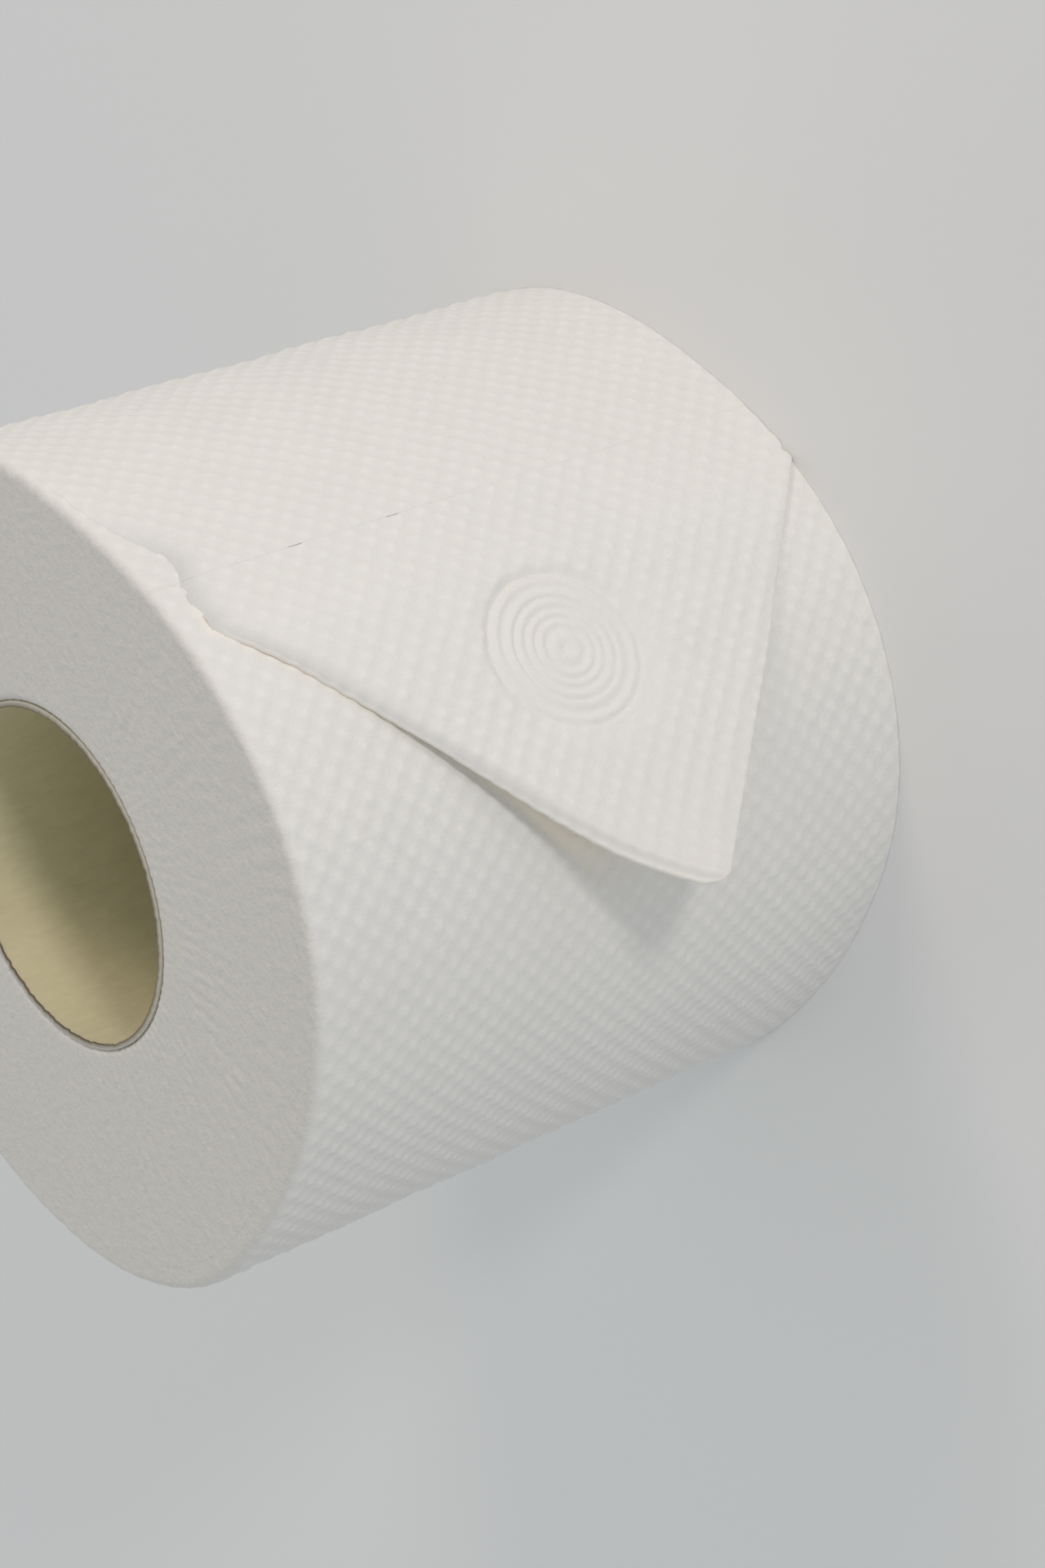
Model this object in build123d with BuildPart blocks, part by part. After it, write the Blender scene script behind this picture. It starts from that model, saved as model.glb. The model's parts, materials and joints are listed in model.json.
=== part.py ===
from build123d import *
from math import cos, pi, radians, sin
import os

# A toilet paper roll standing on its end, in millimetres.
#
# Origin: on the roll's axis, in the plane that the roll stands on.
# +Z runs up the axis. -Y is the front, which the folded point of the last sheet faces.
#
# The roll is two pieces: a cardboard core tube, and one long strip of tissue wound on it.
# All the turns of the strip are one solid. Its loose end has both corners tucked under,
# which leaves a point that lifts off the roll and curls outwards.

# --- Roll ---------------------------------------------------------------------------
roll_width = 95.0            # width of the tissue strip and length of the core
roll_radius = 55.0           # from the axis to the outside of the last turn
sheet_thickness = 0.4        # embossed tissue, and so the spiral's step per turn

# --- Core tube ----------------------------------------------------------------------
core_bore_radius = 22.5      # takes the spindle of a holder
core_wall = 0.7              # cardboard
core_clearance = 0.1         # slack between the tube and the first turn

# --- Folded point -------------------------------------------------------------------
shoulder_angle = -67.0       # direction from the axis in which the folds leave the sides
fold_layers = 2              # the corners are tucked under, so the point is double
laid_length = 9.7            # from the shoulders to where the point lifts off the roll
lift_length = 41.8           # from there to the tip, measured along the paper
lift_turns = (5.6, -8.3, -29.4)   # degrees of bend in each third of it; minus is outwards
tip_width = 3.5              # the tip is blunt, because the folded paper is thick
shoulder_inset = 0.5         # the folds start this far inside the roll's two ends
fold_points = 8              # points along each fold where its outline is worked out

# --- Worked out from the sizes above ------------------------------------------------
core_radius = core_bore_radius + core_wall
paper_bore_radius = core_radius + core_clearance
inner_turn_radius = roll_radius - sheet_thickness
point_thickness = fold_layers * sheet_thickness
mid_width = roll_width / 2
shoulder = Vector(cos(radians(shoulder_angle)), sin(radians(shoulder_angle)))


# --- Core tube: cardboard, open at both ends ----------------------------------------
with BuildPart() as core_tube:
    with BuildSketch():
        Circle(core_radius)
        Circle(core_bore_radius, mode=Mode.SUBTRACT)
    extrude(amount=roll_width)   # paper and core are sawn through in one cut
core_tube.part.label = "core_tube"


# --- Spiral of the last turn --------------------------------------------------------
# Two half circles, whose centres lie a quarter of a sheet to each side of the axis on
# the line through the shoulders. They meet smoothly, and in a full turn the radius grows
# by one sheet thickness. The step that is left is the end of the strip.
first_centre = shoulder * (-sheet_thickness / 4)
first_radius = inner_turn_radius + sheet_thickness / 4
second_centre = shoulder * (sheet_thickness / 4)
second_radius = first_radius + sheet_thickness / 2

# --- Curve of the folded point ------------------------------------------------------
# It goes on from the outside of the spiral, first laid on the turn beneath and then away
# from it along one arc for each entry of lift_turns.
laid_radius = first_radius + sheet_thickness
laid_turn = laid_length / laid_radius * 180 / pi
bend_length = lift_length / len(lift_turns)


def draw_point_curve(depth):
    """Draws the point's section curve clockwise, at a depth below its outer face.

    The laid stretch is an arc about the spiral's centre. Each arc after it starts along
    the last one and has the radius length / bend, which is less by the depth where the
    paper bends inwards and more by it where it curls outwards.
    """
    edge = CenterArc(first_centre, laid_radius - depth, shoulder_angle, -laid_turn)
    for bend in lift_turns:
        radius = bend_length / radians(bend) - depth
        edge = JernArc(edge @ 1, edge % 1, abs(radius), -bend)


with BuildLine() as outer_face:
    draw_point_curve(0)
with BuildLine() as inner_face:
    draw_point_curve(point_thickness)

# The two folds run straight along the flat paper, from the shoulders to the blunt tip.
# Seen from the front, each is the curve of its places across and up the roll.
low_fold = []
high_fold = []
for index in range(fold_points + 1):
    along = index / fold_points
    across = (outer_face.wire() @ along).X
    half_width = (mid_width - shoulder_inset) * (1 - along) + tip_width / 2 * along
    low_fold.append((across, mid_width - half_width))
    high_fold.append((across, mid_width + half_width))


# --- Paper: all the turns, with the folded point ------------------------------------
with BuildPart() as paper_roll:
    # The point, first as a strip of the full width that follows its curve.
    with BuildSketch():
        with BuildLine():
            add(outer_face.line)
            add(inner_face.line)
            Line(outer_face.wire() @ 0, inner_face.wire() @ 0)
            Line(outer_face.wire() @ 1, inner_face.wire() @ 1)
        make_face()
    extrude(amount=roll_width)

    # Only what lies between the two folds stays.
    with BuildSketch(Plane.XZ):
        with BuildLine():
            Spline(*low_fold)
            Spline(*high_fold)
            Line(low_fold[0], high_fold[0])
            Line(low_fold[-1], high_fold[-1])
        make_face()
    extrude(amount=2 * roll_radius, mode=Mode.INTERSECT)

    # The wound turns, inside their spiral.
    with BuildSketch():
        with BuildLine():
            CenterArc(first_centre, first_radius, shoulder_angle, -180)
            CenterArc(second_centre, second_radius, shoulder_angle, 180)
            Line(shoulder * inner_turn_radius, shoulder * roll_radius)
        make_face()
    extrude(amount=roll_width)
    Hole(paper_bore_radius)
paper_roll.part.label = "paper_roll"


# --- One STEP file for each piece ---------------------------------------------------
os.makedirs("parts", exist_ok=True)
for piece in (core_tube, paper_roll):
    export_step(piece.part, f"parts/{piece.part.label}.step")
    print(piece.part.label, len(piece.part.solids()), "solid", round(piece.part.volume / 1000, 2), "cm3")
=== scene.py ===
# %% [markdown]
# # A toilet paper roll with a folded point
#
# The roll stands on its end. A cardboard tube carries one long strip of embossed tissue, and
# the loose end of the strip is folded to a point that lifts off and curls away from the roll.
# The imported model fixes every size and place. This lesson dresses it: the wound turns, the
# last sheet with its pressed seal, the two tucked corners, and the cardboard of the tube.

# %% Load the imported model
import json
import math

import bpy
import numpy as np
from mathutils import Matrix, Vector


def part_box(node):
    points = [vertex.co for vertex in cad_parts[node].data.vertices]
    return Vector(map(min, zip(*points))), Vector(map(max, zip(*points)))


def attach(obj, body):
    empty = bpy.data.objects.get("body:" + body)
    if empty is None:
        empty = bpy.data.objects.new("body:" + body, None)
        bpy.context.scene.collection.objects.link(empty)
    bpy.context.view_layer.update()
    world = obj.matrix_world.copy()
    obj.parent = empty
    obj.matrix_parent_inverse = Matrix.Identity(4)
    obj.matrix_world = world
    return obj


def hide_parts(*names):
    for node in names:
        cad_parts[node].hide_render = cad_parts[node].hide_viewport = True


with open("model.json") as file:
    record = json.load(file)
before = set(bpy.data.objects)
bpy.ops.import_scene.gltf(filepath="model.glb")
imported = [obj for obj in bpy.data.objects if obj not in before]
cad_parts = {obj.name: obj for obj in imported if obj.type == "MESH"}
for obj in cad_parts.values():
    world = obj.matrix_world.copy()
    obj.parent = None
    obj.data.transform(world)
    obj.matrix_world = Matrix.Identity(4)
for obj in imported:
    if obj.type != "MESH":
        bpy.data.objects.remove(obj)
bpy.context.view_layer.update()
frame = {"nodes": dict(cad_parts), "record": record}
print("nodes:", sorted(frame["nodes"]))

# %% [markdown]
# ## Sizes read from the model
#
# Lengths below are in millimetres, because paper is thought of in millimetres, and `MM` turns
# them into Blender's metres at the moment a mesh is made. The main sizes are measured on the
# two solids of the model, so the visible paper always fits them.

# %% Main sizes
MM = 0.001
paper_low, paper_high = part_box("paper_roll")
core_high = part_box("core_tube")[1]
WIDTH = (paper_high.z - paper_low.z) / MM
ROLL_RADIUS = paper_high.x / MM
CORE_RADIUS = core_high.x / MM
BORE_RADIUS = frame["record"]["mounts"][0]["dims"]["r_mm"]
SHEET = 0.4
print(f"roll {WIDTH:.1f} wide, radius {ROLL_RADIUS:.1f}, core {CORE_RADIUS:.1f}, bore {BORE_RADIUS:.1f}")

# %% [markdown]
# ## Places on the strip
#
# A place on wound paper is easiest to give as a tailor would, on the flat strip: `x` across
# it, from the edge that is on top of the standing roll, and `s` along it. `s` is 0 where the
# two folds of the point begin, grows towards the tip, and is negative back round the roll.
# On the roll, a step along `s` is a step clockwise as seen from above.

# %% Places on the strip
SHOULDER_ANGLE = math.radians(-67.0)
PERFORATION = -8.6
LIFT_OFF = 9.65
TIP = 51.44
TURN = 2 * math.pi * ROLL_RADIUS


def strip_angle(s):
    """Direction from the axis: the shoulders' direction, less the length along over the radius."""
    return SHOULDER_ANGLE - s / ROLL_RADIUS


print(f"one turn is {TURN:.0f} long; the tip is {TIP - PERFORATION:.0f} past the perforation")

# %% [markdown]
# ## The roll isn't quite round
#
# Soft paper that is wound, packed and squeezed ends up slightly lobed. A sum of a few cosines
# of the angle describes such a shape: two lobes make an oval, three and four make soft
# corners. Close to the core the shape is round again, because the cardboard is stiff.

# %% Out-of-round shape
LOBE_ORIGIN = math.radians(-10.1)
LOBES = ((1, -0.0051, -0.0027), (2, 0.0013, -0.0015), (3, 0.0, -0.0155), (4, 0.0158, 0.0),
         (5, 0.0032, 0.0002), (6, 0.0029, -0.0029))
CORE_OVAL = 0.008


def lobed(angle):
    """1 plus, for each lobe count k, a cos(k phi) + b sin(k phi); phi runs clockwise."""
    phi = LOBE_ORIGIN - angle
    return 1 + sum(a * np.cos(k * phi) + b * np.sin(k * phi) for k, a, b in LOBES)


def spiral_radius(s):
    """Radius of the outer turn: it grows by one sheet over a turn, up to the perforation."""
    past = np.mod(s - PERFORATION, TURN)
    return ROLL_RADIUS - SHEET + SHEET * past / TURN


def core_edge(angle):
    """Radius of the core's outside, slightly oval: 1 less a small share of sin(2 phi)."""
    return CORE_RADIUS * (1 - CORE_OVAL * (1 + np.sin(2 * (LOBE_ORIGIN - angle))) / 2)


around = lobed(np.linspace(0, 2 * np.pi, 360))
print(f"the roll's radius runs from {around.min():.3f} to {around.max():.3f} of the round one")

# %% [markdown]
# ## The embossed dots
#
# Tissue is pressed between rollers that leave rows of soft beads, each row shifted by half a
# step from the one before. The product of a cosine across and a cosine along gives exactly
# that checkered pattern, and raising the beads while flattening the gaps between them makes
# them read as beads. A whole number of steps fits across the strip and round the roll, so the
# pattern closes on itself. Slow waves on top keep the wound paper from looking machined.

# %% Emboss
DOT_ACROSS = WIDTH / 26
DOT_ALONG = TURN / 90
DOT_HEIGHT = 0.36
DOT_MEAN = 0.31
DOT_UNEVEN = 0.28
UNEVEN_PITCH = 4.5
SLACK_HEIGHT = 0.07
SLACK_PITCH = 15.0
WAVE_COUNT = 12


def dots(x, s):
    """0 in the gaps to 1 on the beads: the square of the middle value of cos across times cos along."""
    wave = np.cos(2 * np.pi * x / DOT_ACROSS) * np.cos(2 * np.pi * s / DOT_ALONG)
    return ((1 + wave) / 2) ** 2


def smooth(value, start, end):
    """0 before start and 1 after end, with an S-shaped ramp, 3 t^2 - 2 t^3, between them."""
    t = np.clip((value - start) / (end - start), 0, 1)
    return t * t * (3 - 2 * t)


def waves(x, s, seed, typical_pitch):
    """Slow unevenness: the sum of a few cosine waves with seeded directions and phases.

    Each wave fits a whole number of times round the roll, so the sum closes on itself.
    """
    random = np.random.default_rng(seed)
    total = 0
    for _ in range(WAVE_COUNT):
        heading, phase = random.uniform(0, 2 * np.pi, 2)
        pitch = typical_pitch * random.uniform(0.6, 1.8)
        whole_times = round(TURN * math.sin(heading) / pitch)
        steps = x * math.cos(heading) / pitch + s * whole_times / TURN
        total = total + np.cos(2 * np.pi * steps + phase)
    return total / math.sqrt(WAVE_COUNT)


def surface_relief(x, s, dotted):
    """Height of the tissue's face over its spiral: beads where it is dotted, and slow waves.

    The beads are uneven in height, and the saw has dragged them flat within 2 to 3 of the ends.
    """
    uneven = 1 + DOT_UNEVEN * waves(x, s, 5, UNEVEN_PITCH)
    uneven = uneven * smooth(x, 0, 3) * smooth(WIDTH - x, 0, 2)
    beaded = DOT_HEIGHT * (dots(x, s) - DOT_MEAN) * dotted * uneven
    return beaded + SLACK_HEIGHT * waves(x, s, 3, SLACK_PITCH)


print(f"dots every {DOT_ACROSS:.2f} across and {DOT_ALONG:.2f} along, {DOT_HEIGHT} high")

# %% [markdown]
# ## Meshes from grids
#
# Every piece here is a grid of points whose two directions close on themselves or are capped.
# Whole numpy arrays go into the mesh at once with `foreach_set`. A UV map counted in dot steps
# rides along for the materials, and so do numbers from 0 to 1 that say how dotted, sawn or
# turned under a place is and how much painted shade or light it gets. They follow the surface,
# so the finish does too.

# %% Mesh helpers
SHARP_ANGLE = math.radians(50)


def grid_faces(rows, columns, wrap_rows, wrap_columns):
    """Quads of a grid: each joins a point to the next in its row and to the two in the next row."""
    r = np.arange(rows if wrap_rows else rows - 1)[:, None]
    c = np.arange(columns if wrap_columns else columns - 1)[None, :]
    r_next = (r + 1) % rows
    c_next = (c + 1) % columns
    quads = np.stack(np.broadcast_arrays(r * columns + c, r * columns + c_next,
                                         r_next * columns + c_next, r_next * columns + c), axis=-1)
    return quads.reshape(-1, 4)


def end_caps(rows, columns):
    """Strips of quads that close the first and last row of a flattened tube."""
    near_side = np.arange(columns // 2 - 1)
    far_side = columns - 1 - near_side
    first = np.stack([near_side, far_side, far_side - 1, near_side + 1], axis=-1)
    return np.concatenate([first, (rows - 1) * columns + first[:, ::-1]])


def polar(radius, angle, height):
    """Points at a radius and an angle round the axis, and at a height over the floor."""
    radius, angle, height = np.broadcast_arrays(radius, angle, height)
    return np.stack([radius * np.cos(angle), radius * np.sin(angle), height], axis=-1)


def make_piece(name, points, quads, material, uv, **values):
    """A mesh piece from points in millimetres and quads, smooth up to SHARP_ANGLE.

    uv holds a pair for each point, and values hold one number for each point by name.
    """
    points = points.reshape(-1, 3)
    mesh = bpy.data.meshes.new(name)
    mesh.vertices.add(len(points))
    mesh.vertices.foreach_set("co", (points * MM).astype(np.float32).ravel())
    mesh.loops.add(quads.size)
    mesh.loops.foreach_set("vertex_index", quads.astype(np.int32).ravel())
    mesh.polygons.add(len(quads))
    mesh.polygons.foreach_set("loop_start", np.arange(0, quads.size, 4, dtype=np.int32))
    mesh.update(calc_edges=True)
    mesh.validate()
    mesh.shade_smooth()
    mesh.set_sharp_from_angle(angle=SHARP_ANGLE)
    layer = mesh.uv_layers.new(name="wrap")
    layer.data.foreach_set("uv", uv.reshape(-1, 2)[quads.ravel()].astype(np.float32).ravel())
    for label, value in values.items():
        attribute = mesh.attributes.new(label, "FLOAT", "POINT")
        attribute.data.foreach_set("value", np.asarray(value, dtype=np.float32).ravel())
    mesh.materials.append(material)
    piece = bpy.data.objects.new(name, mesh)
    bpy.context.scene.collection.objects.link(piece)
    print(f"{name}: {len(points)} points, {2 * len(quads)} triangles")
    return piece


# %% [markdown]
# ## Shared effects as node groups
#
# Tissue and cardboard are both felted fibres, so one group draws fibres for both: fine noise
# for single fibres and slow noise for clouds in the sheet. A second group turns the dot-step
# UV into beads. Each group puts out only values, and the Principled BSDF stays in the
# material, where it can be exported.

# %% Node group helpers
def new_group(name, inputs, outputs):
    """An empty node group with named inputs (kind, value) and named value outputs."""
    group = bpy.data.node_groups.new(name, "ShaderNodeTree")
    for label, (kind, value) in inputs.items():
        socket = group.interface.new_socket(label, in_out="INPUT", socket_type=kind)
        if value is not None:
            socket.default_value = value
    for label in outputs:
        group.interface.new_socket(label, in_out="OUTPUT", socket_type="NodeSocketFloat")
    return group, group.nodes.new("NodeGroupInput"), group.nodes.new("NodeGroupOutput")


def math_node(tree, operation, first, second=None, third=None, clamp=False):
    """A Math node; each operand is a number or another node's output."""
    node = tree.nodes.new("ShaderNodeMath")
    node.operation = operation
    node.use_clamp = clamp
    for socket, value in zip(node.inputs, (first, second, third)):
        if isinstance(value, (int, float)):
            socket.default_value = value
        elif value is not None:
            tree.links.new(value, socket)
    return node.outputs[0]


def noise_node(tree, vector, scale, detail, roughness):
    """A Noise Texture's value, from 0 to 1; vector and scale are other nodes' outputs."""
    node = tree.nodes.new("ShaderNodeTexNoise")
    tree.links.new(vector, node.inputs["Vector"])
    tree.links.new(scale, node.inputs["Scale"])
    node.inputs["Detail"].default_value = detail
    node.inputs["Roughness"].default_value = roughness
    return node.outputs["Fac"]


# %% Fibres
def make_fibres():
    """Felted fibres: fine noise for the grain, and noise a tenth as fine for clouds."""
    group, given, result = new_group(
        "fibres", {"Vector": ("NodeSocketVector", None), "Scale": ("NodeSocketFloat", 900.0)},
        ("Grain", "Clouds"))
    grain = noise_node(group, given.outputs["Vector"], given.outputs["Scale"], 4.0, 0.65)
    slow = math_node(group, "MULTIPLY", given.outputs["Scale"], 0.1)
    clouds = noise_node(group, given.outputs["Vector"], slow, 2.0, 0.5)
    group.links.new(grain, result.inputs["Grain"])
    group.links.new(clouds, result.inputs["Clouds"])
    return group


fibres = make_fibres()
print("group:", fibres.name)

# %% Beads
def make_beads():
    """Beads from the dot-step UV: the square of (1 + cos(2 pi u) cos(2 pi v)) / 2."""
    group, given, result = new_group("beads", {"Vector": ("NodeSocketVector", None)}, ("Bead",))
    split = group.nodes.new("ShaderNodeSeparateXYZ")
    group.links.new(given.outputs["Vector"], split.inputs[0])
    across = math_node(group, "COSINE", math_node(group, "MULTIPLY", split.outputs["X"], 2 * math.pi))
    along = math_node(group, "COSINE", math_node(group, "MULTIPLY", split.outputs["Y"], 2 * math.pi))
    wave = math_node(group, "MULTIPLY", across, along)
    half = math_node(group, "MULTIPLY_ADD", wave, 0.5, 0.5)
    group.links.new(math_node(group, "MULTIPLY", half, half), result.inputs["Bead"])
    return group


beads = make_beads()
print("group:", beads.name)

# %% [markdown]
# ## Tissue
#
# Tissue is matt and nearly white. Its beads are painted paler and the gaps between them darker:
# partly the denser pressed paper of the gaps, partly painted light on the beads and painted shade
# in the gaps. Fibres break up both. A sawn end shows thousands of cut sheet edges instead:
# felt-like, without beads, and painted greyer for the fine shade among the cut edges. One
# material does both, and the piece's own "sawn" and "dotted" values say which of the two a
# place is. Paper seen from underneath, and the turn beneath the point, are painted warm and light
# for the light that comes through the paper and off the paper next to it, and a grey band of
# painted shade runs along the near fold: the piece's values for both say where.

# %% Material helpers
def start_material(name, roughness, specular):
    """A new material, its node tree, and its Principled BSDF with the roughness and gloss set."""
    material = bpy.data.materials.new(name)
    material.use_nodes = True
    tree = material.node_tree
    shader = tree.nodes["Principled BSDF"]
    shader.inputs["Roughness"].default_value = roughness
    shader.inputs["Specular IOR Level"].default_value = specular
    return material, tree, shader


def place_group(tree, group, vector, **values):
    """A node that uses a group, fed with a vector and with this material's own values."""
    node = tree.nodes.new("ShaderNodeGroup")
    node.node_tree = group
    tree.links.new(vector, node.inputs["Vector"])
    for label, value in values.items():
        node.inputs[label].default_value = value
    return node


def piece_value(tree, name):
    """The piece's own number for each place, by its name."""
    node = tree.nodes.new("ShaderNodeAttribute")
    node.attribute_name = name
    return node.outputs["Fac"]


def object_place(tree):
    """Object coordinates, in metres."""
    return tree.nodes.new("ShaderNodeTexCoord").outputs["Object"]


def mix_colours(tree, share, first, second):
    """A colour between two, which are colours or other nodes' outputs."""
    node = tree.nodes.new("ShaderNodeMix")
    node.data_type = "RGBA"
    tree.links.new(share, node.inputs["Factor"])
    for socket, colour in ((node.inputs[6], first), (node.inputs[7], second)):
        if isinstance(colour, tuple):
            socket.default_value = (*colour, 1)
        else:
            tree.links.new(colour, socket)
    return node.outputs[2]


def add_bump(tree, height, distance):
    """A Bump node, distance metres high for a height of 1."""
    node = tree.nodes.new("ShaderNodeBump")
    node.inputs["Distance"].default_value = distance
    tree.links.new(height, node.inputs["Height"])
    return node.outputs["Normal"]


# %% Tissue
# The gap colour is partly denser pressed paper, partly painted shade in the gaps; the bead colour is
# partly painted light on the beads.
GAP_COLOUR = (0.815, 0.805, 0.785)
BEAD_COLOUR = (0.895, 0.885, 0.865)
# The sawn end's grey is painted shade, the fine shade among its cut edges, mottled by the fibre grain.
SAWN_SHADED_DARK = (0.69, 0.66, 0.62)
SAWN_SHADED_LIGHT = (0.82, 0.79, 0.745)
# A grey of painted shade for the band along the near fold and the side edge, and at the tip.
FOLD_SHADE_COLOUR = (0.70, 0.695, 0.685)
# Painted light: a warm near-white for paper seen from underneath and the turn beneath the point, lit
# through the paper.
TRANSMITTED_GLOW_COLOUR = (0.985, 0.93, 0.83)
TISSUE_FUZZ = 0.00012


def make_tissue():
    """Gap to bead colour by the dots and fibres; then sawn grey, fold shade and warm light, all painted,
    are laid over.
    """
    material, tree, shader = start_material("tissue", 0.95, 0.15)
    place_here = object_place(tree)
    wrap = tree.nodes.new("ShaderNodeUVMap")
    wrap.uv_map = "wrap"
    fibre = place_group(tree, fibres, place_here, Scale=1100.0)
    bead = place_group(tree, beads, wrap.outputs["UV"]).outputs["Bead"]
    dotted = piece_value(tree, "dotted")
    sawn = piece_value(tree, "sawn")
    grain = fibre.outputs["Grain"]

    # Beads painted paler and gaps darker: partly denser pressed paper, partly painted light on the beads
    # and painted shade in the gaps.
    bead_shading = math_node(tree, "MULTIPLY", math_node(tree, "SUBTRACT", bead, DOT_MEAN), dotted)
    cloudy = math_node(tree, "MULTIPLY_ADD", fibre.outputs["Clouds"], 0.5, -0.25)
    grainy = math_node(tree, "MULTIPLY_ADD", grain, 0.7, cloudy)
    paleness = math_node(tree, "MULTIPLY_ADD", bead_shading, 0.6, grainy, clamp=True)
    wound_colour = mix_colours(tree, paleness, GAP_COLOUR, BEAD_COLOUR)
    # Painted shade: the sawn end is painted greyer for the shade among its cut edges, mottled by the
    # grain.
    sawn_shaded_colour = mix_colours(tree, grain, SAWN_SHADED_DARK, SAWN_SHADED_LIGHT)
    outside_colour = mix_colours(tree, sawn, wound_colour, sawn_shaded_colour)
    # Painted shade: a grey band along the near fold and the side edge, and some at the tip.
    creased_colour = mix_colours(tree, piece_value(tree, "creased"), outside_colour, FOLD_SHADE_COLOUR)
    # Painted light: paper turned under or lying beneath the point is painted warm and light for the light
    # through the paper.
    colour = mix_colours(tree, piece_value(tree, "turned"), creased_colour, TRANSMITTED_GLOW_COLOUR)
    tree.links.new(colour, shader.inputs["Base Color"])

    deeper = math_node(tree, "MULTIPLY_ADD", sawn, 1.3, 1.0)
    fuzz = add_bump(tree, math_node(tree, "MULTIPLY", grain, deeper), TISSUE_FUZZ)
    tree.links.new(fuzz, shader.inputs["Normal"])
    return material


tissue = make_tissue()
print("material:", tissue.name)

# %% [markdown]
# ## Cardboard
#
# A core is wound from two bands of grey-brown board glued at a slant, so a faint seam runs
# round it as a helix. The board is speckled with long fibres, and its sawn rims are greyer. On
# the upper rim the inner ply has curled in a little, and a dark line runs along its edge: partly
# the cut edge's own colour, partly painted shade under the curl. Stretching the noise by a
# Mapping node gives fibres that lie one way.

# %% Cardboard
BOARD_DARK = (0.63, 0.575, 0.375)
BOARD_LIGHT = (0.76, 0.705, 0.485)
BOARD_RIM = (0.60, 0.57, 0.50)
# The dark line along the upper rim's inner edge: partly the cut edge's own colour, partly painted shade
# under the curled ply.
BOARD_EDGE_AND_SHADE = (0.16, 0.12, 0.07)
BOARD_FUZZ = 0.00006
FIBRE_STRETCH = 0.35


def make_cardboard():
    """Dark to light board by the fibres; then the rim's colour and the dark edge line, partly painted
    shade, are laid over.
    """
    material, tree, shader = start_material("cardboard", 0.82, 0.25)
    lay = tree.nodes.new("ShaderNodeMapping")
    lay.inputs["Scale"].default_value = (1.0, 1.0, FIBRE_STRETCH)
    tree.links.new(object_place(tree), lay.inputs["Vector"])
    fibre = place_group(tree, fibres, lay.outputs["Vector"], Scale=700.0)
    speckle = math_node(tree, "MULTIPLY_ADD", fibre.outputs["Grain"], 1.3, -0.35)
    patch = math_node(tree, "MULTIPLY_ADD", fibre.outputs["Clouds"], 0.5, speckle, clamp=True)
    board = mix_colours(tree, patch, BOARD_DARK, BOARD_LIGHT)
    sawn = piece_value(tree, "sawn")
    rimmed = mix_colours(tree, sawn, board, BOARD_RIM)
    # Partly painted shade: the dark line under the curled inner ply at the upper rim.
    edge = piece_value(tree, "edge")
    tree.links.new(mix_colours(tree, edge, rimmed, BOARD_EDGE_AND_SHADE), shader.inputs["Base Color"])
    tree.links.new(add_bump(tree, fibre.outputs["Grain"], BOARD_FUZZ), shader.inputs["Normal"])
    return material


cardboard = make_cardboard()
print("material:", cardboard.name)

# %% [markdown]
# ## Sawn ends
#
# Rolls are wound as long logs and sawn to width. The saw leaves a soft felt of sheet edges,
# with faint ripples where the stack gave way under the blade. The relief is a sum of polar
# waves: each closes on itself round the axis, and some of them fade in and out in patches.

# %% Relief of a sawn end
SAWN_DEPTH = 0.12
FINE_WAVE = 0.005
RIPPLE = 0.022


def sawn_relief(radius, angle):
    """Depth of the sawn end below its plane: a sum of cos(m angle + k radius + phase).

    Fine waves run in all directions. The ripples have a small k, so they run out from the
    core, and a slow wave switches them on and off.
    """
    random = np.random.default_rng(7)
    depth = SAWN_DEPTH
    for _ in range(40):
        m = random.integers(30, 150)
        k = random.uniform(-4, 4)
        depth = depth + FINE_WAVE * np.cos(m * angle + k * radius + random.uniform(0, 2 * np.pi))
    for _ in range(5):
        m = random.integers(78, 112)
        k = random.uniform(-0.6, 0.6)
        patch = np.cos(random.integers(2, 7) * angle + 0.12 * radius + random.uniform(0, 2 * np.pi))
        ripple = np.cos(m * angle + k * radius + random.uniform(0, 2 * np.pi))
        depth = depth + RIPPLE * ripple * np.maximum(patch, 0)
    return np.maximum(depth, 0.0)


mid_relief = sawn_relief(ROLL_RADIUS / 2, np.linspace(0, 2 * np.pi, 720))
print(f"the sawn end lies {mid_relief.min():.2f} to {mid_relief.max():.2f} below its plane")

# %% [markdown]
# ## The last sheet's side edge
#
# The last sheet was pulled slightly askew when it was folded, so near the folds its upper side
# edge has crept inwards from the roll's end and shows as a low step. A few listed places say
# how far the edge lies inside the end.

# %% Side edge
EDGE_S = (-42.0, -39.0, -31.6, -25.6, -19.6, -15.6, -13.6, -11.6, -9.6, -7.6, -4.6, -2.6)
EDGE_INSET = (0.0, 0.15, 1.1, 1.7, 2.8, 4.7, 5.5, 6.0, 5.3, 4.5, 4.0, 4.3)
EDGE_START = -41.0
EDGE_CLEAR = -30.0
EDGE_WORN = 0.8
EDGE_SLOPE = 2.6


def side_inset(s):
    """How far the last sheet's upper side edge lies inside the roll's end."""
    return np.interp(s, EDGE_S, EDGE_INSET)


def worn_edge(inside):
    """Share of its thickness that the sheet has lost, from EDGE_WORN at its edge to none inwards."""
    return EDGE_WORN * (1 - smooth(inside, 0, EDGE_SLOPE))


print(f"the side edge creeps in by up to {max(EDGE_INSET)} and is worn over {EDGE_SLOPE}")

# %% [markdown]
# ## The two folds
#
# Past the shoulders the sheet's edges are folds. Each runs nearly straight from its shoulder to
# the tip, and a little of a sine and of a double sine bow it. The tip itself is rounded.

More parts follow.
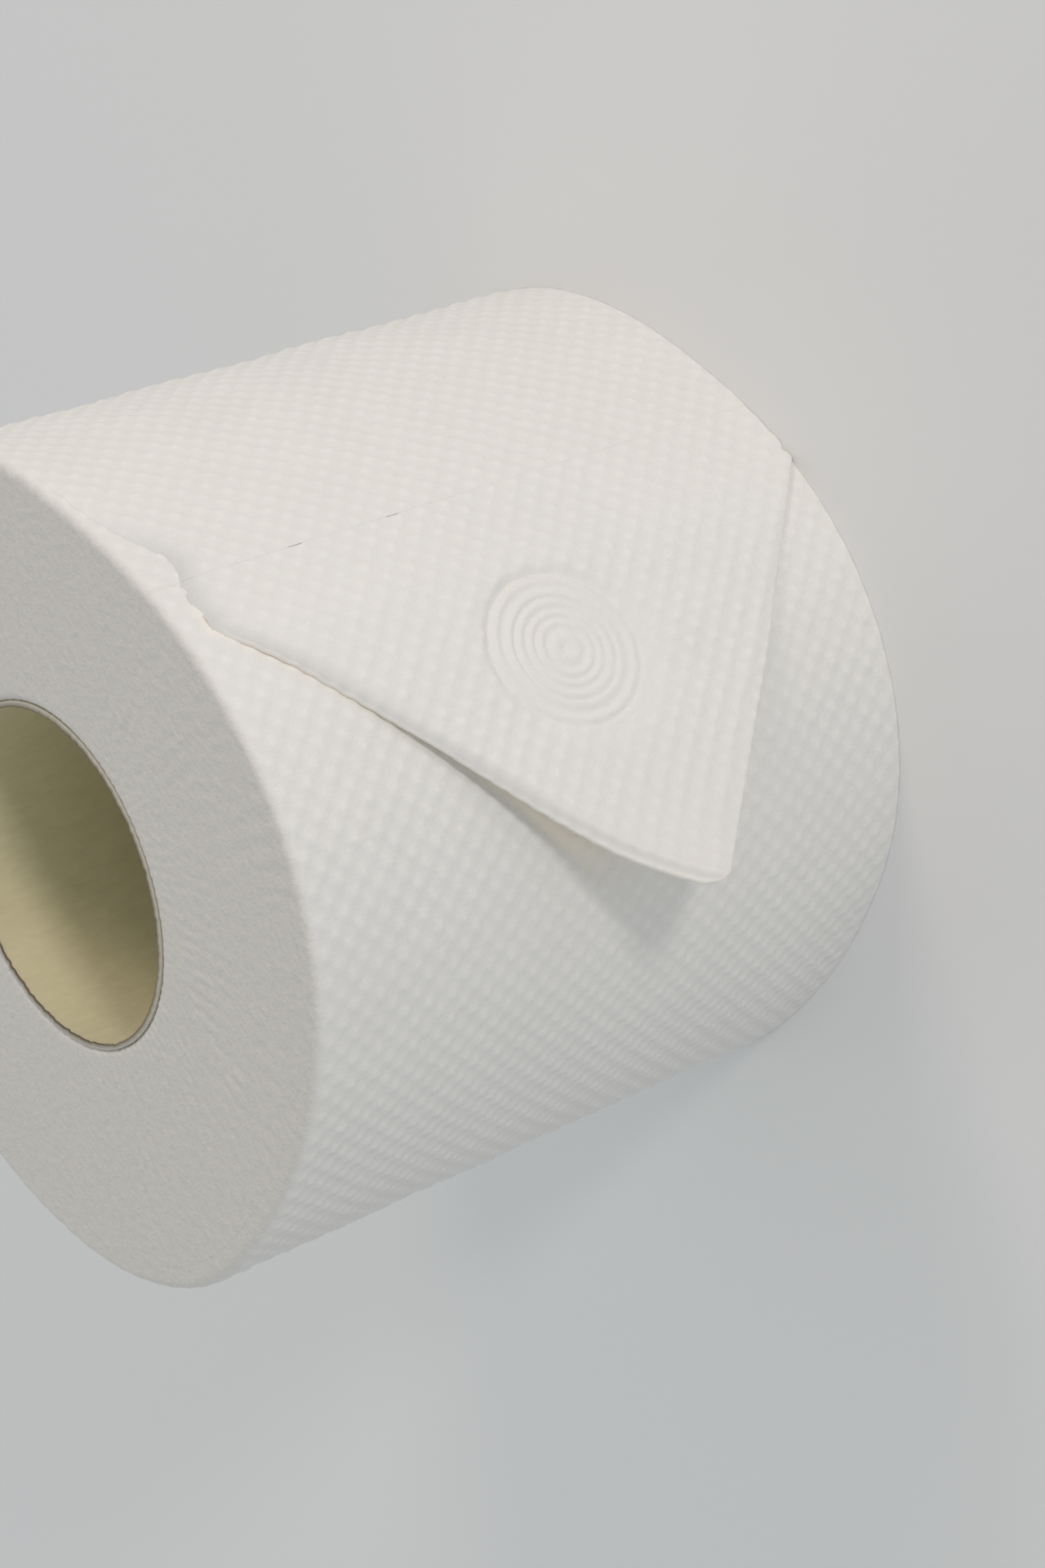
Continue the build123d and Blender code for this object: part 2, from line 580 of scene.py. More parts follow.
# %% Folds
FOLD_NEAR = (4.38, -0.19)
FOLD_FAR = (94.93, 1.8)
TIP_NEAR = 45.9
TIP_FAR = 48.5
NEAR_BOW = (0.32, 0.09)
FAR_BOW = (1.56, -0.64)
TIP_ROUND = 1.0
TIP_BLUNT = 0.98


def fold_line(s, shoulder, tip_x, bow):
    """x of a fold: straight from shoulder to tip, plus a sin(pi t) + b sin(2 pi t)."""
    t = np.clip((s - shoulder[1]) / (TIP - shoulder[1]), 0, 1)
    bowed = bow[0] * np.sin(np.pi * t) + bow[1] * np.sin(2 * np.pi * t)
    return shoulder[0] + (tip_x - shoulder[0]) * t + bowed


def sheet_edges(s):
    """x of the two edges at s: side edges before the shoulders, folds after them."""
    near = np.where(s < FOLD_NEAR[1], side_inset(s), fold_line(s, FOLD_NEAR, TIP_NEAR, NEAR_BOW))
    far = fold_line(s, FOLD_FAR, TIP_FAR, FAR_BOW)
    past = np.clip((s - TIP + TIP_ROUND) / TIP_ROUND, 0, 1)
    rounded = TIP_ROUND * (1 - np.sqrt(1 - TIP_BLUNT * past ** 2))
    return near + rounded, far - rounded


print(f"the point narrows from {FOLD_FAR[0] - FOLD_NEAR[0]:.1f} to {TIP_FAR - TIP_NEAR:.1f}")

# %% [markdown]
# ## Painted shade at the fold, painted light beneath the point
#
# Where the near side of the strip runs along its upper side edge and into its fold, a grey band
# of painted shade is laid on the paper. The turn beneath the point is painted warm and light,
# for the light that comes through the point and off its underside. Both are soft masks on the
# strip, which the tissue turns into colour.

# %% Painted fold shade and light beneath the point
FOLD_SHADE_START = 2.3
FOLD_SHADE_END = 1.1
FOLD_SHADE_SHIFT = 1.3
TIP_FOLD_SHADE = 0.35
SHADE_FADE = 0.8
SHADE_SHIFT = 2.2


def crease(to_fold, s):
    """How much painted shade the sheet gets: a bell over the distance to the near fold, and some at the
    tip.
    """
    width = FOLD_SHADE_START + (FOLD_SHADE_END - FOLD_SHADE_START) * smooth(s, 5, 45)
    bell = np.exp(-((to_fold - FOLD_SHADE_SHIFT * smooth(s, 20, 40)) / width) ** 2)
    return np.maximum(bell * smooth(s, -27, -9), TIP_FOLD_SHADE * smooth(s, 24, 46))


def shaded_paper(x, s):
    """1 where the point covers the turn beneath closely and paints warm light there, fading out
    SHADE_FADE past its folds.

    Where the point lifts, the mask draws in by SHADE_SHIFT, and it ends before the tip.
    """
    near, far = sheet_edges(s)
    lifted = SHADE_SHIFT * smooth(s, 14, 34)
    covered = smooth(x - near - lifted, -SHADE_FADE, 0.6) * smooth(far - x - lifted, -SHADE_FADE, 0.6)
    return covered * smooth(s, -7, 0) * (1 - smooth(s, 34, 48))


print(f"creased by {crease(0.0, 0.0):.2f} at the near shoulder and {crease(0.0, TIP):.2f} at the tip")

# %% [markdown]
# ## Outer turns
#
# What shows of the winding is its outermost turn, with a soft rim at both ends, the low step
# of the side edge, and the step at the perforation where the last sheet begins. It is one
# closed ring: down the outside, in over the lower end, up a hidden wall and out over the upper
# end. A row of the grid goes round the roll and a column goes round the ring's section.

# %% Outer turns
OUTER_COLUMNS = 540
RIM_DEPTH = 3.0
TOP_ROUND = 1.3
BASE_ROUND = 0.05
BASE_RELIEF = 0.2
SEAM = 0.005
JOINED = 60.0
RIM_MARGIN = 0.3
STEP_RUN = 0.02


def hidden_wall(angle):
    """Radius of the joint between the outer and the inner turns."""
    return (ROLL_RADIUS - SHEET) * lobed(angle) - RIM_DEPTH


def make_outer_turns():
    """The grid's rows: top end and rim inwards out, the covered face, lower rim and end.

    The face's own place on the strip is back; one turn on, at s, the last sheet lies over it.
    The row at the side edge eases over JOINED past the seam, so that both ends of it meet.
    """
    s = PERFORATION + np.linspace(SEAM, TURN - SEAM, OUTER_COLUMNS)
    back = s - TURN
    angle = strip_angle(s)
    joined = side_inset(PERFORATION) * (1 - smooth(s, PERFORATION, PERFORATION + JOINED))
    edge = np.maximum(np.maximum(side_inset(back), joined), TOP_ROUND + RIM_MARGIN)
    stepped = smooth(back, EDGE_START, EDGE_CLEAR)[None, :]
    base = (spiral_radius(s) * lobed(angle))[None, :]

    beneath = TOP_ROUND + (edge - STEP_RUN - TOP_ROUND)[None, :] * np.array([0.0, 0.5, 1.0])[:, None]
    across = np.concatenate([[0.0, 0.0015, 0.005], np.linspace(0.0105, 1, 146)])[:, None]
    covered = edge[None, :] + (WIDTH - BASE_ROUND - edge[None, :]) * across
    x = np.concatenate([beneath, covered])
    drop = np.zeros_like(x)
    drop[:3] = stepped * SHEET
    drop[3:] = stepped * SHEET * worn_edge(covered - edge[None, :])
    side = base - drop + surface_relief(x, back[None, :], 1.0)

    bend = np.radians(np.linspace(0, 90, 7))[1:, None]
    into = np.linspace(1, 0, 8)[1:, None]
    wall = hidden_wall(angle)[None, :]
    top_outside = side[:1]
    base_outside = side[-1:]
    top_edge = top_outside - TOP_ROUND
    base_edge = base_outside - BASE_ROUND
    top = np.concatenate([top_edge + TOP_ROUND * np.cos(bend), wall + (top_edge - wall) * into])
    bottom = np.concatenate([base_edge + BASE_ROUND * np.cos(bend), wall + (base_edge - wall) * into])
    share = np.concatenate([np.sin(bend), 1 + 0 * into]) + 0 * wall
    top_fall = np.concatenate([TOP_ROUND * (1 - np.sin(bend)), 0 * into]) + 0 * wall
    base_rise = np.concatenate([BASE_ROUND * (1 - np.sin(bend)), 0 * into]) + 0 * wall
    top_height = WIDTH - top_fall - share * sawn_relief(top, angle[None, :])
    base_height = base_rise + share * sawn_relief(bottom, -angle[None, :]) * BASE_RELIEF

    radii = np.concatenate([top[::-1], side, bottom])
    heights = np.concatenate([top_height[::-1], WIDTH - x, base_height])
    sawn = np.concatenate([share[::-1] ** 2, 0 * x, share ** 2])
    # Painted light: beneath the point this turn is painted warm and light for the light that comes
    # through the point.
    shaded = np.concatenate([0 * share, shaded_paper(x, s[None, :]), 0 * share])
    # Painted shade: a grey band along this turn's upper side edge before the perforation.
    creased = crease(covered - edge[None, :], back[None, :])
    pressed = np.concatenate([0 * share, 0 * beneath, creased, 0 * share])
    u = (WIDTH - heights) / DOT_ACROSS
    v = np.broadcast_to(back / DOT_ALONG, radii.shape)
    quads = grid_faces(radii.shape[0], OUTER_COLUMNS, True, True)
    uv = np.stack([u, v], axis=-1)
    return make_piece("outer_turns", polar(radii, angle[None, :], heights), quads, tissue, uv,
                      sawn=sawn, dotted=1 - sawn, turned=shaded, creased=pressed)


outer_turns = make_outer_turns()
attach(outer_turns, "root")
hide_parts("paper_roll")

# %% [markdown]
# ## Inner turns
#
# Between the core and the outer turns only the sawn ends show. Hundreds of separate sheets
# would add nothing to the look, so the paper is one thick ring whose two ends carry the
# relief. It begins a hair outside the core.

# %% Inner turns
INNER_COLUMNS = 600
CORE_SLACK = 0.03
CORE_FRAY = 0.5
CORE_FRAY_WIDTH = 0.35


def make_inner_turns():
    """A closed ring: rows go out over the top, where radius grows with share, and back below."""
    angle = np.linspace(0, 2 * np.pi, INNER_COLUMNS, endpoint=False)[None, :]
    outside = hidden_wall(angle) - 0.01
    inside = core_edge(angle) + CORE_SLACK
    share = np.linspace(0, 1, 62)[:, None]
    radii = inside + (outside - inside) * share
    frayed = CORE_FRAY * np.exp(-((radii - inside) / CORE_FRAY_WIDTH) ** 2)
    top = WIDTH - sawn_relief(radii, angle) - frayed
    bottom = BASE_RELIEF * sawn_relief(radii, -angle)
    radii = np.concatenate([radii, radii[::-1]])
    heights = np.concatenate([top, bottom[::-1]])
    points = polar(radii, angle, heights)
    quads = grid_faces(radii.shape[0], INNER_COLUMNS, True, True)[:, ::-1]
    return make_piece("inner_turns", points, quads, tissue, points[..., :2] / DOT_ACROSS,
                      sawn=np.ones_like(radii), dotted=np.zeros_like(radii))


inner_turns = make_inner_turns()
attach(inner_turns, "root")
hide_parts("paper_roll")

# %% [markdown]
# ## The curve of the last sheet
#
# Seen from above, the last sheet goes on round the roll, rises by the thickness of the corners
# tucked under it, leaves the roll and curls outwards. A curve like that is easiest to give by
# its curvature: the heading is the running sum of the bend, and the place is the running sum
# of the heading.

# %% Curve of the last sheet
LAID_LAYERS = 1.4
BEND = (0.10, 0.585, 0.175, -1.30, -2.03, -2.335)
FINE_STEP = 0.05
FINE = np.arange(PERFORATION - 6, TIP + 2, FINE_STEP)


def sheet_curve():
    """Places in plan of the last sheet's outer face, and its outward directions.

    Laid on the roll, its radius is the turn beneath plus its layers. Lifted, its bend in
    turns of the roll runs through BEND, and heading and place are running sums.
    """
    angle = strip_angle(FINE)
    layers = SHEET + SHEET * LAID_LAYERS * smooth(FINE, -4, 6)
    radius = (ROLL_RADIUS - SHEET) * lobed(angle) + layers
    laid = np.stack([radius * np.cos(angle), radius * np.sin(angle)], axis=-1)
    tangent = np.gradient(laid, FINE_STEP, axis=0)
    heading = np.unwrap(np.arctan2(tangent[:, 1], tangent[:, 0]))
    start = np.searchsorted(FINE, LIFT_OFF)
    lifted = FINE > LIFT_OFF
    share = (FINE - LIFT_OFF) / (TIP - LIFT_OFF)
    bend = np.interp(share, np.linspace(0, 1, len(BEND)), BEND) / ROLL_RADIUS
    heading = np.where(lifted, heading[start] - np.cumsum(np.where(lifted, bend, 0)) * FINE_STEP, heading)
    move = np.stack([np.cos(heading), np.sin(heading)], axis=-1) * FINE_STEP
    free = laid[start] + np.cumsum(np.where(lifted[:, None], move, 0), axis=0)
    outward = np.stack([-np.sin(heading), np.cos(heading)], axis=-1)
    return np.where(lifted[:, None], free, laid), outward


CURVE, OUTWARD = sheet_curve()


def on_sheet(x, s, height):
    """A point of the last sheet: its place on the curve at s, moved outwards by the height."""
    px = np.interp(s, FINE, CURVE[:, 0]) + height * np.interp(s, FINE, OUTWARD[:, 0])
    py = np.interp(s, FINE, CURVE[:, 1]) + height * np.interp(s, FINE, OUTWARD[:, 1])
    return np.stack([px, py, WIDTH - x], axis=-1)


tip_place = on_sheet(WIDTH / 2, TIP, 0.0)
print(f"tip at {tip_place.round(1)}, {np.hypot(*tip_place[:2]):.1f} from the axis")

# %% [markdown]
# ## The seal
#
# Before it leaves the works, or in a well-kept bathroom, the folded point is pressed with a
# round stamp. It leaves ripples in rings: uneven in width, deepest at the middle, and set in a
# shallow dish. A moat runs round the rings on one side, and the dots fade towards them.

# %% Seal
SEAL_X = 46.45
SEAL_S = 16.35
CRESTS = (1.45, 3.45, 4.8, 6.25, 7.45, 9.5)
GROOVES = (0.0, 2.65, 4.1, 5.4, 7.0, 8.55, 10.4)
RING_HEIGHT = 0.15
MOAT = 0.36
DISH = 0.32
STAMP_EDGE = 10.5
RINGS_KEPT = math.radians(200)
MOAT_AWAY = math.radians(60)
DISH_TOWARD = math.radians(45)


def seal(x, s):
    """Height of the seal and how far it wipes out the dots, from the distance r to its middle.

    Between a groove and the next crest the height follows half a cosine. A moat, deepest just
    outside the last crest, and a dish that fades outwards are taken off. None of them is the
    same all round: each changes with the cosine of the heading from a direction of its own.
    """
    r = np.hypot(x - SEAL_X, s - SEAL_S)
    turns = np.sort(np.concatenate([CRESTS, GROOVES]))
    rings = -np.cos(np.interp(r, turns, np.arange(len(turns)) * np.pi))
    heading = np.arctan2(s - SEAL_S, x - SEAL_X)
    kept = 0.75 + 0.25 * np.cos(heading - RINGS_KEPT) + 0.12 * waves(x, s, 11, 6.0)
    rings = RING_HEIGHT * rings * kept * (1 - smooth(r, 10.2, 10.9))
    one_side = np.clip(0.5 - np.cos(heading - MOAT_AWAY), 0, 1)
    moat = MOAT * np.exp(-((r - STAMP_EDGE) / 0.7) ** 2) * one_side
    toward = np.cos(heading - DISH_TOWARD)
    dish = DISH * (1 - smooth(r, 9.8, 11.6 + 1.4 * (1 + toward)))
    halo = (1 - smooth(r, 11, 19)) * smooth(toward, 0.1, 0.8)
    wiped = np.maximum(1 - smooth(r, 9.6, 11.2), 0.8 * halo)
    return rings - moat - dish, wiped


print(f"seal: {len(CRESTS)} rings, {2 * STAMP_EDGE:.0f} across")

# %% [markdown]
# ## The last sheet
#
# From the perforation to the tip the sheet narrows between two folds. At a fold the paper
# isn't pressed sharp but turns under in a small arc, and the sheet sags a little towards it.
# The sheet is a closed shell: a middle surface that includes the turned-under hems, moved out
# and in by half a thickness. Rows and columns are closer together where the seal is. Teeth of
# the perforation have left two short slits in its start, its side edge is worn thin and sinks
# into the paper beneath, and it thins out at the tip.

# %% Last sheet
SHEET_ROWS = 213
FACE_COLUMNS = 190
FOLD_RADIUS = 0.22
LIP = 0.6
SAG = 0.30
SAG_WIDTH = 3.6
PULLED_FLAT = 0.28
SLITS = ((20.6, 22.6), (35.1, 37.2))
SLIT_GAP = 0.13
EDGE_SUNK = 0.1
CURL_START = -1.0
CURL_FULL = 2.5
TIP_THINNED = 0.85


def graded(count, low, high, centre, half, ratio):
    """Points from low to high, ratio times as dense within half of the centre."""
    fine = np.linspace(low, high, 4000)
    density = 1 + (ratio - 1) * (1 - smooth(np.abs(fine - centre), half, half * 1.35))
    total = np.concatenate([[0], np.cumsum((density[1:] + density[:-1]) / 2)])
    return np.interp(np.linspace(0, 1, count), total / total[-1], fine)


def slits(x, s):
    """Setback of the sheet's torn start: SLIT_GAP within each cut that a perforation tooth left."""
    inside = sum(smooth(x, low, low + 0.3) * (1 - smooth(x, high - 0.3, high)) for low, high in SLITS)
    return SLIT_GAP * inside * (1 - smooth(s, PERFORATION, PERFORATION + 1.5))


def hem(s):
    """Section of a turned-under hem: how far out and down it goes, its turning and thickness.

    Paper up to pi FOLD_RADIUS long goes half round, and a lip runs straight back. The curl
    grows from nothing at the shoulder, where the paper is still flat.
    """
    curl = np.maximum(smooth(s, CURL_START, CURL_FULL) / FOLD_RADIUS, 1e-4)
    half_round = math.pi * FOLD_RADIUS
    paper = np.linspace(0, 1, 10)[1:][None, :] * (half_round + LIP)
    arc = np.minimum(paper, half_round)
    turned = arc * curl
    rest = paper - arc
    out = np.sin(turned) / curl + rest * np.cos(turned)
    down = -(1 - np.cos(turned)) / curl - rest * np.sin(turned)
    pressed = 1 - 0.5 * rest / LIP * smooth(s, CURL_START, CURL_FULL)
    return out, down, turned, pressed


def make_last_sheet():
    """A closed shell round the sheet's middle surface, capped at the perforation and the tip.

    x_mid and h_mid are the middle surface. Half a thickness along its normal, less where the
    edge is worn or the tip thinned, gives the outer and the inner face.
    """
    s = graded(SHEET_ROWS, PERFORATION + SEAM * 3, TIP, SEAL_S, 10.8, 2.2)[:, None]
    v = graded(FACE_COLUMNS, 0, 1, 0.5, 0.16, 2.0)[None, :]
    near, far = sheet_edges(s)
    out, down, turned, pressed = hem(s)
    curled = smooth(s, CURL_START, CURL_FULL)
    reach = out.max(axis=1, keepdims=True) + SHEET / 2 * curled
    near_fold = near + reach
    far_fold = far - reach
    x_face = near_fold + (far_fold - near_fold) * v
    stamped, wiped = seal(x_face, s)
    dotted = (1 - wiped) * (1 - PULLED_FLAT * smooth(s, PERFORATION, 6))
    relief = surface_relief(x_face, s, dotted) + stamped
    to_fold = np.minimum(x_face - near, far - x_face)
    relief = relief - SAG * smooth(s, 2, 14) * (1 - np.clip(to_fold / SAG_WIDTH, 0, 1)) ** 2
    thinned = 1 - TIP_THINNED * smooth(s, TIP - 0.9, TIP)
    down = down * thinned
    x_mid = np.concatenate([near_fold - out[:, ::-1], x_face, far_fold + out], axis=1)
    h_mid = np.concatenate([relief[:, :1] + down[:, ::-1], relief, relief[:, -1:] + down], axis=1)
    lost = worn_edge(x_mid - near) * (1 - smooth(s, -1.5, 3))
    beside = smooth(s, PERFORATION, -6.5) * (1 - smooth(s, -1, 3))
    sunk = EDGE_SUNK * (1 - smooth(x_mid - near, 0, 1)) * beside
    h_mid = h_mid - SHEET / 2 * (1 + lost) * thinned - sunk
    normal_x = np.concatenate([-np.sin(turned)[:, ::-1], 0 * x_face, np.sin(turned)], axis=1)
    normal_h = np.concatenate([np.cos(turned)[:, ::-1], 1 + 0 * x_face, np.cos(turned)], axis=1)
    fullness = np.concatenate([pressed[:, ::-1], 1 + 0 * x_face, pressed], axis=1)
    half = SHEET / 2 * thinned * (1 - lost) * fullness
    x = np.concatenate([x_mid + normal_x * half, (x_mid - normal_x * half)[:, ::-1]], axis=1)
    h = np.concatenate([h_mid + normal_h * half, (h_mid - normal_h * half)[:, ::-1]], axis=1)
    s_all = s + slits(x, s)
    hem_dots = np.full_like(out, 0.5)
    face_dots = np.concatenate([hem_dots, dotted, hem_dots], axis=1)
    # Painted shade: a grey band along the near fold, on the face and on its hem.
    hem_creased = crease(near_fold - out[:, ::-1] - near, s) * (1 - 0.8 * curled)
    face_creased = np.concatenate([hem_creased, crease(x_face - near, s), 0 * out], axis=1)
    creased = np.concatenate([face_creased, 0 * face_creased], axis=1)
    # Painted light: the hems as they turn under, and the sheet's inner face, are painted warm and light
    # for the light through the paper.
    under = (1 - np.cos(turned)) / 2
    face_turned = np.concatenate([under[:, ::-1], 0 * x_face, under], axis=1)
    turned_all = np.concatenate([face_turned, 1 + 0 * face_turned], axis=1)
    dotted_all = np.concatenate([face_dots, face_dots[:, ::-1]], axis=1)
    rows, columns = x.shape
    quads = np.concatenate([grid_faces(rows, columns, False, True), end_caps(rows, columns)])[:, ::-1]
    uv = np.stack([x / DOT_ACROSS, s_all / DOT_ALONG], axis=-1)
    return make_piece("last_sheet", on_sheet(x, s_all, h), quads, tissue, uv,
                      sawn=np.zeros_like(x), turned=turned_all, creased=creased, dotted=dotted_all)


last_sheet = make_last_sheet()
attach(last_sheet, "root")
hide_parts("paper_roll")

# %% [markdown]
# ## The tucked corners
#
# Folding each corner of the strip under leaves a triangle beneath the sheet. It is the corner
# mirrored over its fold, with two free edges: the strip's side edge and its torn end. A grid
# of lines that run square to the fold, from the fold to the free edges, covers the triangle,
# and the far corner dips under the near one where the two overlap.

# %% Tucked corners
TUCK_THICKNESS = 0.2
TUCK_DEPTH = SHEET / 2 + 2 * FOLD_RADIUS
HEM_COVER = 0.9
TUCK_DOTS = 0.6
TUCK_DROOP = 0.35


def tucked_corner(shoulder, tip_x, corner_x, dips):
    """Points of one corner, folded under: between the fold line and its mirrored free edges.

    A place on the free edge is the shoulder plus a share of the fold plus a share of the
    perpendicular, which grows to the corner and shrinks again to the tip.
    """
    start = np.array(shoulder)
    fold = np.array([tip_x, TIP]) - start
    corner = np.array([corner_x, TIP]) - start
    corner_share = corner @ fold / (fold @ fold)
    across = corner_share * fold - corner
    u = np.linspace(0.03, 0.975, 96)[:, None]
    reach = np.interp(u, (0, corner_share, 1), (0, 1, 0))
    hidden = HEM_COVER / np.hypot(*across)
    v = np.linspace(0, 1, 52)[None, :]
    first = np.minimum(hidden, reach * 0.5)
    side = first + (reach - first) * v
    x = start[0] + u * fold[0] + side * across[0]
    s = start[1] + u * fold[1] + side * across[1]
    middle = -TUCK_DEPTH - dips * (TUCK_THICKNESS + 0.03) * smooth(np.abs(x - corner_x), 32, 38)
    middle = middle + seal(x, s)[0] + DOT_HEIGHT * TUCK_DOTS * (dots(x, s) - DOT_MEAN)
    middle = middle - TUCK_DROOP * (side / reach) ** 3 * smooth(s, 24, 38)
    half = TUCK_THICKNESS / 2
    x = np.concatenate([x, x[:, ::-1]], axis=1)
    s = np.concatenate([s, s[:, ::-1]], axis=1)
    height = np.concatenate([middle + half, (middle - half)[:, ::-1]], axis=1)
    return x, s, height


def make_tucked_corners():
    """Both corners in one mesh; the far one's faces are turned, since it is a mirror image."""
    x_near, s_near, h_near = tucked_corner(FOLD_NEAR, TIP_NEAR, 0.0, 0.0)
    x_far, s_far, h_far = tucked_corner(FOLD_FAR, TIP_FAR, WIDTH, 1.0)
    rows, columns = x_near.shape
    quads = np.concatenate([grid_faces(rows, columns, False, True), end_caps(rows, columns)])
    quads = np.concatenate([quads[:, ::-1], quads + rows * columns])
    x = np.concatenate([x_near, x_far])
    s = np.concatenate([s_near, s_far])
    height = np.concatenate([h_near, h_far])
    uv = np.stack([x / DOT_ACROSS, s / DOT_ALONG], axis=-1)
    # Painted light: the corners, seen only from underneath, are painted warm and light for the light
    # through the paper.
    return make_piece("tucked_corners", on_sheet(x, s, height), quads, tissue, uv,
                      sawn=np.zeros_like(x), dotted=np.full_like(x, 0.8), turned=np.ones_like(x))


tucked_corners = make_tucked_corners()
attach(tucked_corners, "root")
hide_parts("paper_roll")

# %% [markdown]
# ## Core tube
#
# The tube is a plain wall of board, but a real one is never quite clean: the saw frays its
# rim, and the seams of the winding run round it as a helix. Both are small changes to the
# radius and the height of a closed ring, whose rows go down the outside and up the inside.

# %% Core tube
CORE_COLUMNS = 520
SEAM_TURNS = 1.35
SEAM_DEPTH = 0.10
SEAM_WIDTH = 0.006
FRAY = 0.28
CURLED = 0.05
EDGE_LINE = 0.3


def make_core_tube():
    """Height is a share of the width; inside, a groove follows angle + SEAM_TURNS x share.

    A last row lies EDGE_LINE out from the bore on the upper rim, where the dark edge line, partly painted
    shade, fades out.
    """
    angle = np.linspace(0, 2 * np.pi, CORE_COLUMNS, endpoint=False)[None, :]
    rough = sum(np.cos(m * angle + 1.7 * m) for m in (23, 41, 67, 89, 118)) / 5
    fray = FRAY * (0.5 + 0.5 * rough)
    top = WIDTH - fray
    low = 0.02 + 0.3 * fray
    outside = core_edge(angle)
    inside = outside - (CORE_RADIUS - BORE_RADIUS)
    down = np.concatenate([[0.0, 0.0015], np.linspace(0.008, 0.992, 5), [0.9985, 1.0]])
    up = np.concatenate([[1.0, 0.9985, 0.9965], np.linspace(0.99, 0.01, 50), [0.0035, 0.0015, 0.0]])
    down, up = down[:, None], up[:, None]
    wound = np.mod(angle / (2 * np.pi) + SEAM_TURNS * up, 1.0)
    groove = SEAM_DEPTH * np.exp(-((wound - 0.5) / SEAM_WIDTH) ** 2)
    curled = CURLED * smooth(up, 0.006, 0.0) * (1 + rough)
    inner = inside + groove - curled
    radii = np.concatenate([outside + 0 * down, inner, inner[-1:] + EDGE_LINE])
    shares = np.concatenate([down, up, [[0.0]]]) + 0 * angle
    heights = top + (low - top) * shares
    at_rim = np.maximum(smooth(shares, 0.0042, 0.001), smooth(shares, 0.9958, 0.999))
    edge = np.zeros_like(radii)
    # The dark edge line: partly the cut edge's own colour, partly painted shade under the curled ply.
    edge[-3:] = ((1.0,), (1.0,), (0.5,))
    points = polar(radii, angle, heights)
    uv = np.stack([np.broadcast_to(angle / (2 * np.pi), radii.shape), shares], axis=-1)
    quads = grid_faces(radii.shape[0], CORE_COLUMNS, True, True)
    return make_piece("core_tube_board", points, quads[:, ::-1], cardboard, uv, sawn=at_rim, edge=edge)


core_tube_board = make_core_tube()
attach(core_tube_board, "root")
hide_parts("core_tube")

# %% [markdown]
# ## Floor
#
# A plain pale surface, large enough that its edge never shows. A breath of fibre noise keeps
# it from looking synthetic.

# %% Floor
FLOOR_REACH = 12.0
FLOOR_DARK = (0.845, 0.845, 0.845)
FLOOR_LIGHT = (0.86, 0.86, 0.86)


def make_floor():
    """One square that reaches FLOOR_REACH metres to each side of the roll."""
    material, tree, shader = start_material("floor", 0.9, 0.2)
    fibre = place_group(tree, fibres, object_place(tree), Scale=60.0)
    shade = mix_colours(tree, fibre.outputs["Clouds"], FLOOR_DARK, FLOOR_LIGHT)
    tree.links.new(shade, shader.inputs["Base Color"])
    mesh = bpy.data.meshes.new("floor")
    corners = [(x * FLOOR_REACH, y * FLOOR_REACH, 0) for x, y in ((-1, -1), (1, -1), (1, 1), (-1, 1))]
    mesh.from_pydata(corners, [], [(0, 1, 2, 3)])
    mesh.materials.append(material)
    floor = bpy.data.objects.new("floor", mesh)
    bpy.context.scene.collection.objects.link(floor)
    print(f"floor: {2 * FLOOR_REACH:.0f} m across")
    return floor


make_floor()

# %% [markdown]
# ## Camera
#
# The camera looks down on the front of the roll with a short telephoto lens. It is rolled on
# its side, so that the standing roll is seen as it hangs on a holder: end face to the left and
# the folded point hanging down in front.

# %% Camera
CAMERA_PLACE = Vector((5.5, -400.7, 303.1)) * MM
CAMERA_AZIMUTH = -2.183
CAMERA_DOWN = 35.02
CAMERA_ROLL = -110.6
LENS = 81.3
SENSOR = 36.0


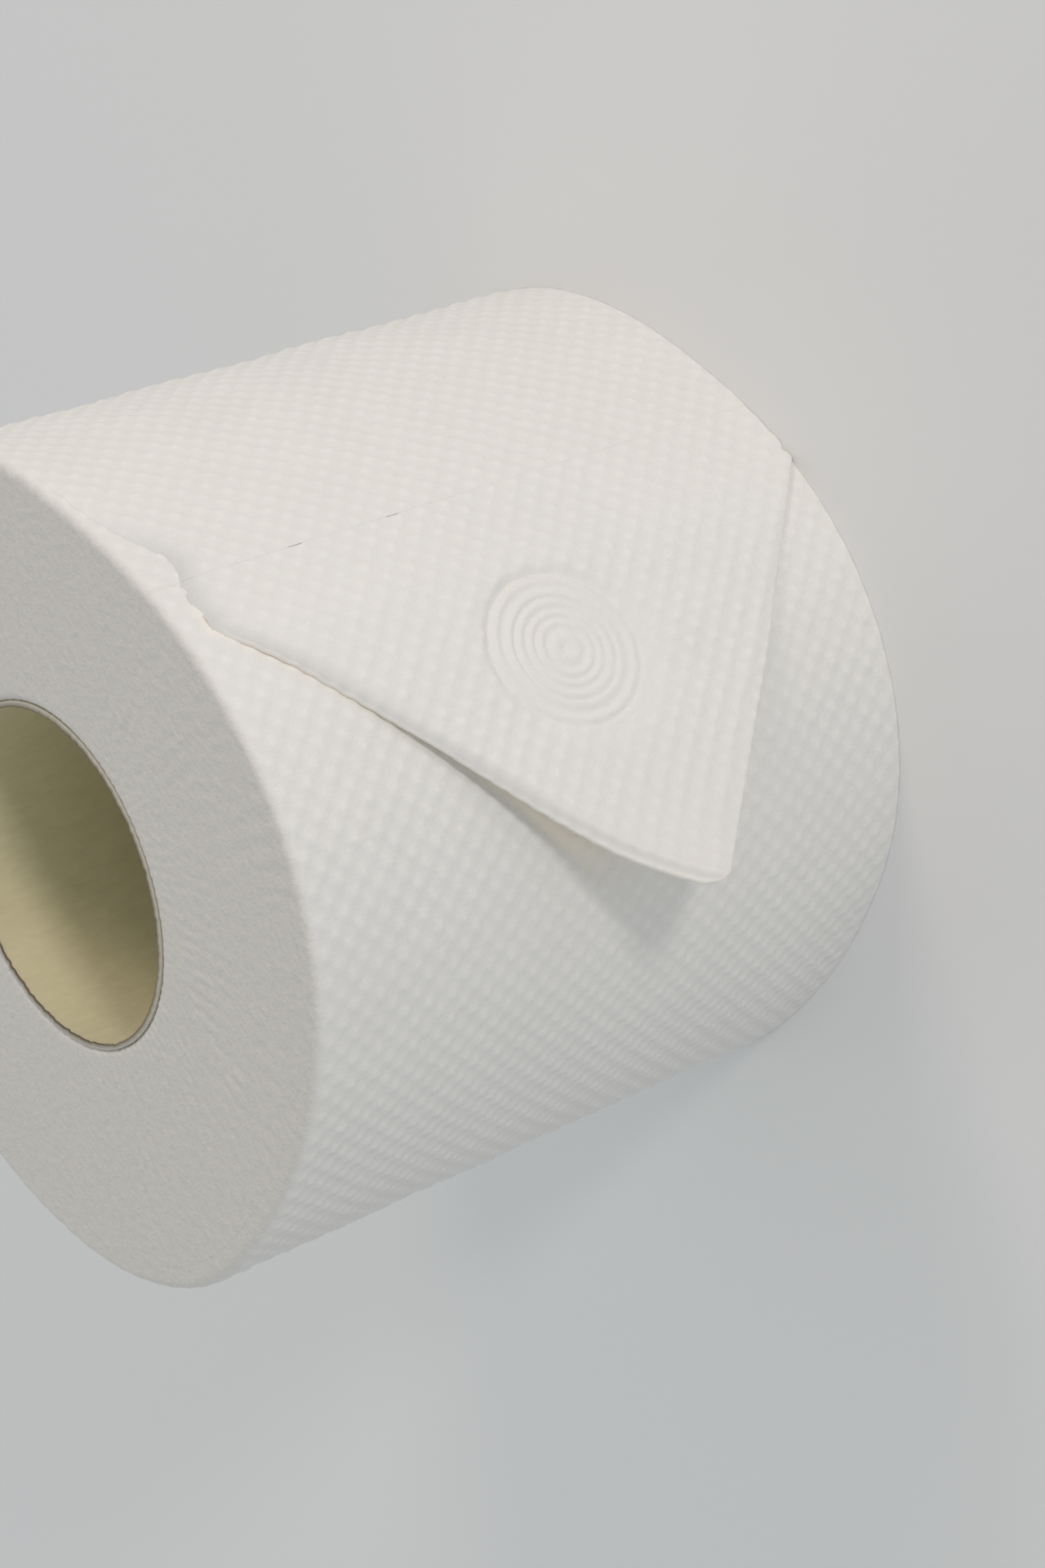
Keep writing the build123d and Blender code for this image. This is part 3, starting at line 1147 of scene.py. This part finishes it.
def make_camera():
    """A camera that is tilted down, turned to its azimuth and rolled about its own axis."""
    data = bpy.data.cameras.new("camera")
    data.lens = LENS
    data.sensor_width = SENSOR
    data.clip_start = 0.01
    camera = bpy.data.objects.new("camera", data)
    bpy.context.scene.collection.objects.link(camera)
    turn = (Matrix.Rotation(math.radians(-CAMERA_AZIMUTH), 4, "Z")
            @ Matrix.Rotation(math.radians(90 - CAMERA_DOWN), 4, "X")
            @ Matrix.Rotation(math.radians(CAMERA_ROLL), 4, "Z"))
    camera.matrix_world = Matrix.Translation(CAMERA_PLACE) @ turn
    bpy.context.scene.camera = camera
    print(f"camera: {LENS} mm lens, {CAMERA_DOWN} degrees down")


make_camera()

# %% [markdown]
# ## Light
#
# White paper needs soft, even light, and one direction a little stronger than the rest, so
# that the lifted point throws its shadow on the roll. A broad warm lamp from the side reaches
# into the core, and a pale sky fills in the rest.

# %% Lights
def area_light(name, direction, distance, size, power, colour):
    """A round lamp in a direction from the middle of the roll, facing it."""
    data = bpy.data.lights.new(name, "AREA")
    data.shape = "DISK"
    data.size = size
    data.energy = power
    data.color = colour
    lamp = bpy.data.objects.new(name, data)
    bpy.context.scene.collection.objects.link(lamp)
    toward = Vector(direction).normalized()
    lamp.location = toward * distance + Vector((0, 0, WIDTH / 2 * MM))
    lamp.rotation_euler = toward.to_track_quat("Z", "Y").to_euler()
    print(f"{name}: {power} W, {size} m across")


area_light("key", (0.27, -0.938, 0.218), 1.6, 0.25, 5.5, (1.0, 0.945, 0.896))
area_light("warm_side", (0.85, -0.35, 0.40), 1.6, 0.5, 4.2, (1.0, 0.814, 0.683))
area_light("cool_back", (0.0, 0.978, 0.208), 1.6, 0.9, 3.6, (0.87, 0.967, 1.0))
world = bpy.data.worlds.new("world")
world.use_nodes = True
sky = world.node_tree.nodes["Background"]
sky.inputs["Color"].default_value = (0.954, 0.988, 1.0, 1)
sky.inputs["Strength"].default_value = 0.52
bpy.context.scene.world = world
bpy.context.scene.view_settings.view_transform = "Standard"
print("world: a pale sky")
